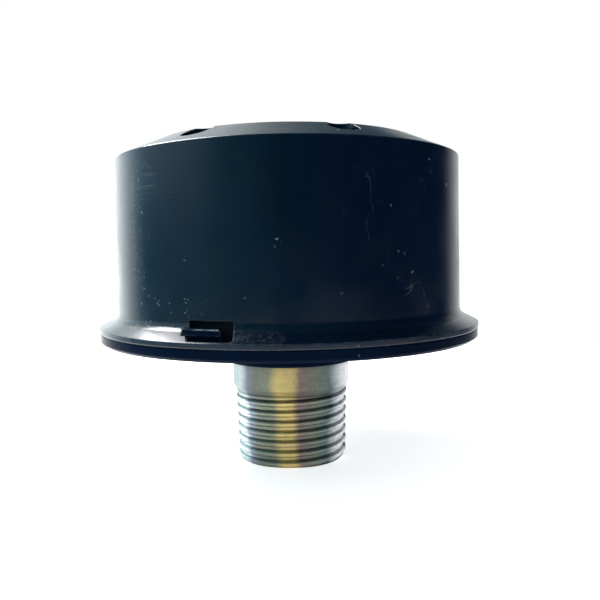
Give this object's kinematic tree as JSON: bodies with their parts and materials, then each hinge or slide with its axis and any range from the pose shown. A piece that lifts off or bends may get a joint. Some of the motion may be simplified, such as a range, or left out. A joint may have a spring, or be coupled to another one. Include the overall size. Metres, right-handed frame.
{
  "type": "compressor intake filter silencer",
  "caption": "Round air-intake silencer with a slotted twist-lock cap over a pleated filter element and a hollow taper-threaded metal stem.",
  "frame": {"origin": "centre of the stem's lower end face, on the object's axis; the object stands on this face", "axes": "+Z along the axis from the stem's threaded end towards the cap's roof; -Y is the front, where one bayonet hook stands left of centre"},
  "size_m": [0.069, 0.069, 0.058],
  "materials": {
    "housing_plastic": "satin",
    "base_plastic": "satin",
    "stem_metal": "satin",
    "seal_rubber": "matte",
    "tube_plastic": "matte",
    "gasket_felt": "matte",
    "end_cap_rubber": "matte",
    "core_steel": "satin",
    "filter_paper": "matte",
    "sleeve_foam": "matte",
    "black_foam": "matte",
    "pad_rubber": "matte"
  },
  "bodies": {
    "base": {"base_plate": "base_plastic", "threaded_stem": "stem_metal", "cap_seal_ring": "seal_rubber", "intake_tube": "tube_plastic", "element_gasket": "gasket_felt", "filter_end_ring": "end_cap_rubber", "filter_end_disc": "end_cap_rubber", "filter_core": "core_steel", "filter_media": "filter_paper", "prefilter_sleeve": "sleeve_foam", "hold_down_pad": "pad_rubber"},
    "cap": {"cap_housing": "housing_plastic", "acoustic_foam": "black_foam"}
  },
  "joints": [
    {"name": "cap_twist", "type": "hinge", "parent": "base", "child": "cap", "pos_m": [0, 0, 0.0249], "axis": [0, 0, 1], "range_deg": [-2.1, 0]}
  ]
}
